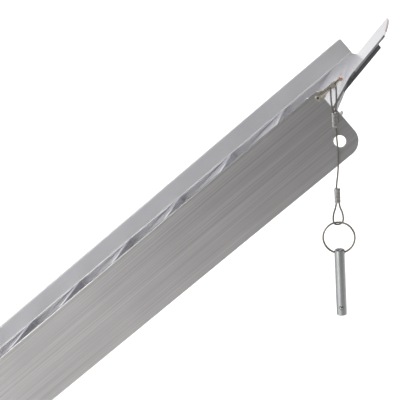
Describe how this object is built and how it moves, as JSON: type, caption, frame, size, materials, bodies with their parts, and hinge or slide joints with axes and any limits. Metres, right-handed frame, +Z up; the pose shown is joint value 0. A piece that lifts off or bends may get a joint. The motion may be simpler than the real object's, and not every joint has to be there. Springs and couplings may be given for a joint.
{
  "type": "dog ramp",
  "caption": "Aluminium dog ramp with curbed rails, saw-tooth treads, a bent boarding lip and a tethered detent pin.",
  "frame": {"origin": "at the centre of the right rail ear hole, in the middle of that rail web", "axes": "+Z up at the working slope of 38.2 degrees; +X towards the lip, level; +Y across the ramp, away from the lanyard"},
  "size_m": [1.2031, 0.3951, 0.994],
  "materials": {
    "extruded_aluminium": "satin extrusion with fine lines along its length",
    "sheet_aluminium": "bright mill-finish sheet",
    "rivet_aluminium": "bright domes",
    "ferrule_aluminium": "pressed, slightly dull",
    "zinc_steel": "zinc plated, faintly yellow",
    "polished_steel": "polished stainless",
    "wire_rope": "stranded stainless wire",
    "copper": "bare copper",
    "rubber": "matt black"
  },
  "bodies": {
    "frame": {"right_rail": "extruded_aluminium", "left_rail": "extruded_aluminium", "tread_01": "sheet_aluminium", "tread_02": "sheet_aluminium", "tread_03": "sheet_aluminium", "tread_04": "sheet_aluminium", "tread_05": "sheet_aluminium", "tread_06": "sheet_aluminium", "tread_07": "sheet_aluminium", "tread_08": "sheet_aluminium", "tread_09": "sheet_aluminium", "tread_10": "sheet_aluminium", "tread_11": "sheet_aluminium", "tread_12": "sheet_aluminium", "tread_13": "sheet_aluminium", "tread_14": "sheet_aluminium", "tread_15": "sheet_aluminium", "tread_16": "sheet_aluminium", "right_tread_rivets": "rivet_aluminium", "left_tread_rivets": "rivet_aluminium", "lip_plate": "sheet_aluminium", "lip_rivets": "rivet_aluminium", "right_lip_pad": "rubber", "left_lip_pad": "rubber", "entry_plate": "sheet_aluminium", "entry_rivets": "rivet_aluminium", "right_foot": "rubber", "left_foot": "rubber", "foot_bolts": "zinc_steel", "foot_nuts": "zinc_steel", "anchor_arm": "zinc_steel", "anchor_rivet": "zinc_steel", "anchor_peg": "zinc_steel", "anchor_tip": "copper"},
    "lanyard": {"lanyard_wire": "wire_rope", "upper_ferrule": "ferrule_aluminium", "lower_ferrule": "ferrule_aluminium"},
    "ring": {"pull_ring": "polished_steel"},
    "pin": {"pin_body": "polished_steel", "detent_spring": "zinc_steel"},
    "ball": {"detent_ball": "polished_steel"}
  },
  "joints": [
    {"name": "lanyard_swing", "type": "hinge", "parent": "frame", "child": "lanyard", "pos_m": [-0.00352, -0.0095, 0.05169], "axis": [0, 1, 0], "range_deg": [-60, 8]},
    {"name": "ring_swing", "type": "hinge", "parent": "lanyard", "child": "ring", "pos_m": [-0.00352, -0.0095, -0.0726], "axis": [1, 0, 0], "range_deg": [-50, 50]},
    {"name": "pin_swing", "type": "hinge", "parent": "ring", "child": "pin", "pos_m": [-0.00352, -0.0095, -0.1008], "axis": [1, 0, 0], "range_deg": [-80, 80]},
    {"name": "detent_press", "type": "slide", "parent": "pin", "child": "ball", "axis": [0, 1, 0], "range_m": [0, 0.0009], "stiffness_N_per_m": 900}
  ]
}
